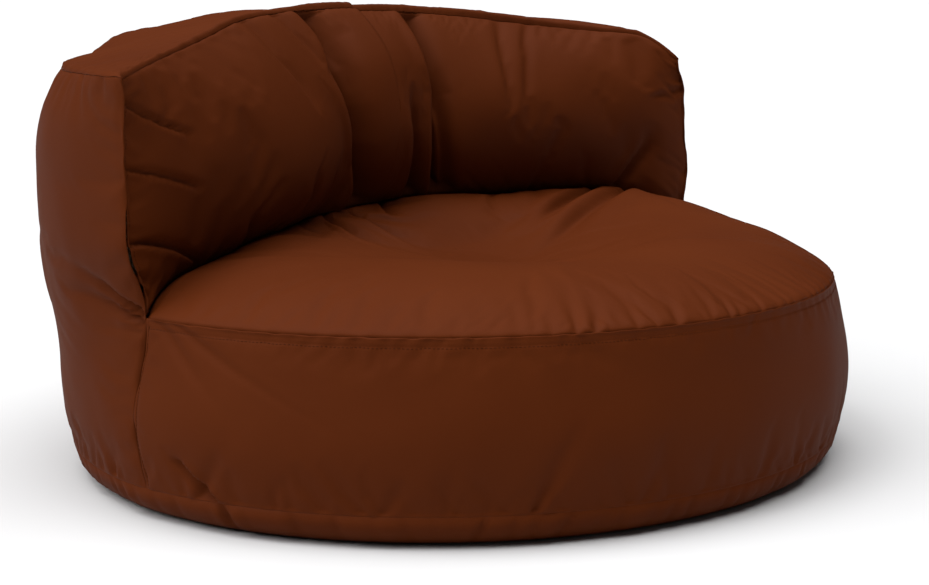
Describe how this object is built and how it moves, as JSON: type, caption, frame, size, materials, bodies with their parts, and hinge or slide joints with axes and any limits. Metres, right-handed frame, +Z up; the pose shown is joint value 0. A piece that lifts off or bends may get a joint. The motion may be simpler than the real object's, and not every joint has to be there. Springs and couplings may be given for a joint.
{
  "type": "bean bag chair",
  "caption": "Low round bead-filled floor seat with a dished top and a crescent backrest sewn onto its rear half, with rear zips.",
  "frame": {"origin": "on the floor under the middle of the chair's plan outline", "axes": "+X across the chair, towards the sitter's left; +Y towards the backrest; +Z up; the chair faces -Y"},
  "size_m": [1.212, 1.1235, 0.6445],
  "materials": {
    "cover_cloth": "satin coated polyester, brown",
    "lining_cloth": "plain woven, off-white",
    "bead_fill": "loose expanded polystyrene beads, white",
    "zip_tape": "woven tape with nylon coils, dark brown",
    "zip_metal": "dark lacquered"
  },
  "bodies": {
    "chair": {"seat_top_panel": "cover_cloth", "front_side_panel": "cover_cloth", "outer_back_panel": "cover_cloth", "backrest_front_panel": "cover_cloth", "backrest_top_panel": "cover_cloth", "base_panel": "cover_cloth", "chamber_divider": "lining_cloth", "seat_liner": "lining_cloth", "seat_liner_closure": "lining_cloth", "seat_bead_fill": "bead_fill", "backrest_liner": "lining_cloth", "backrest_liner_closure": "lining_cloth", "backrest_bead_fill": "bead_fill", "seat_zip_upper_tape": "zip_tape", "seat_zip_lower_tape": "zip_tape", "seat_zip_closed_stop": "zip_metal", "seat_zip_open_stop": "zip_metal", "backrest_zip_upper_tape": "zip_tape", "backrest_zip_lower_tape": "zip_tape", "backrest_zip_closed_stop": "zip_metal", "backrest_zip_open_stop": "zip_metal"},
    "seat_slider": {"seat_zip_slider": "zip_metal"},
    "backrest_slider": {"backrest_zip_slider": "zip_metal"}
  },
  "joints": [
    {"name": "seat_zip_run", "type": "hinge", "parent": "chair", "child": "seat_slider", "pos_m": [0, -0.101, 0.054], "axis": [0, 0, 1], "range_deg": [0, 46.4]},
    {"name": "backrest_zip_run", "type": "hinge", "parent": "chair", "child": "backrest_slider", "pos_m": [0, -0.101, 0.589], "axis": [0, 0, 1], "range_deg": [0, 30.3]}
  ]
}
